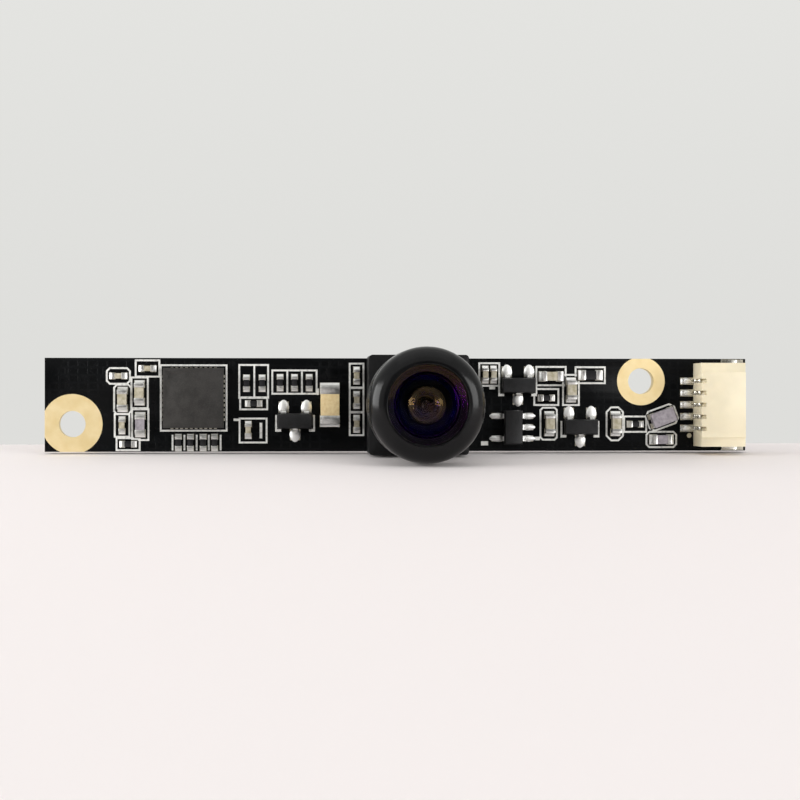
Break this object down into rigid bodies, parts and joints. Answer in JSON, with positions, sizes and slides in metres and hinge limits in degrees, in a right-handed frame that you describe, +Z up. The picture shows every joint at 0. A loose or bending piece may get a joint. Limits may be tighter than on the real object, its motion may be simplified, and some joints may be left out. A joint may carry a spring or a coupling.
{
  "type": "camera module",
  "caption": "Narrow board camera module: wide-angle lens in a moulded holder, surface-mounted chips, plated mounting holes and a side-entry cable connector.",
  "frame": {"origin": "where the optical axis meets the back face of the circuit board", "axes": "+X along the board towards the cable connector, +Z up across the board as it stands on its long edge, the lens looks along -Y"},
  "size_m": [0.059, 0.0145, 0.0092],
  "materials": {
    "solder_mask": "black solder mask on glass-epoxy laminate, satin",
    "gold_plating": "gold plating over copper",
    "legend_ink": "white printed ink",
    "copper_land": "tinned copper",
    "solder": "reflowed solder, bright",
    "holder_plastic": "black glass-filled plastic",
    "barrel_plastic": "black plastic, satin",
    "bezel_plastic": "black plastic, semi-gloss",
    "lens_glass": "coated optical glass",
    "black_spacer": "blackened",
    "filter_glass": "cyan-tinted infrared cut filter",
    "silicon": "silicon image sensor",
    "cover_glass": "plain cover glass",
    "ivory_nylon": "natural nylon",
    "tinned_contact": "tinned phosphor bronze",
    "chip_moulding": "dark grey moulding compound",
    "tinned_lead": "matt tin",
    "package_moulding": "dark grey moulding compound",
    "tan_ceramic": "tan ceramic",
    "resistor_overcoat": "black glass overcoat",
    "olive_ceramic": "brown-olive ceramic",
    "ferrite": "grey ferrite"
  },
  "bodies": {
    "root": {"circuit_board": "solder_mask", "left_mounting_pad": "gold_plating", "right_mounting_pad": "gold_plating", "printed_legend": "legend_ink", "component_lands": "copper_land", "solder_fillets": "solder", "lens_holder": "holder_plastic", "lens_barrel": "barrel_plastic", "front_bezel": "bezel_plastic", "front_lens": "lens_glass", "second_lens": "lens_glass", "third_lens": "lens_glass", "rear_lens": "lens_glass", "front_spacer": "black_spacer", "aperture_stop": "black_spacer", "middle_spacer": "black_spacer", "rear_retainer": "black_spacer", "infrared_filter": "filter_glass", "sensor_balls": "solder", "sensor_die": "silicon", "sensor_cover_glass": "cover_glass", "connector_housing": "ivory_nylon", "connector_contact_1": "tinned_contact", "connector_contact_2": "tinned_contact", "connector_contact_3": "tinned_contact", "connector_contact_4": "tinned_contact", "connector_contact_5": "tinned_contact", "upper_fixing_lug": "tinned_contact", "lower_fixing_lug": "tinned_contact", "processor_body": "chip_moulding", "processor_contacts": "tinned_lead", "left_regulator_body": "package_moulding", "middle_regulator_body": "package_moulding", "right_regulator_body": "package_moulding", "load_switch_body": "package_moulding", "left_regulator_leads": "tinned_lead", "middle_regulator_leads": "tinned_lead", "right_regulator_leads": "tinned_lead", "load_switch_leads": "tinned_lead", "bulk_capacitor_body": "tan_ceramic", "bulk_capacitor_terminals": "tinned_lead", "small_resistor_bodies": "resistor_overcoat", "small_resistor_terminals": "tinned_lead", "small_capacitor_bodies": "olive_ceramic", "small_capacitor_terminals": "tinned_lead", "large_resistor_body": "resistor_overcoat", "large_resistor_terminals": "tinned_lead", "large_capacitor_bodies": "olive_ceramic", "large_capacitor_terminals": "tinned_lead", "ferrite_bead_bodies": "ferrite", "ferrite_bead_terminals": "tinned_lead", "choke_body": "ferrite", "choke_terminals": "tinned_lead"}
  },
  "joints": []
}
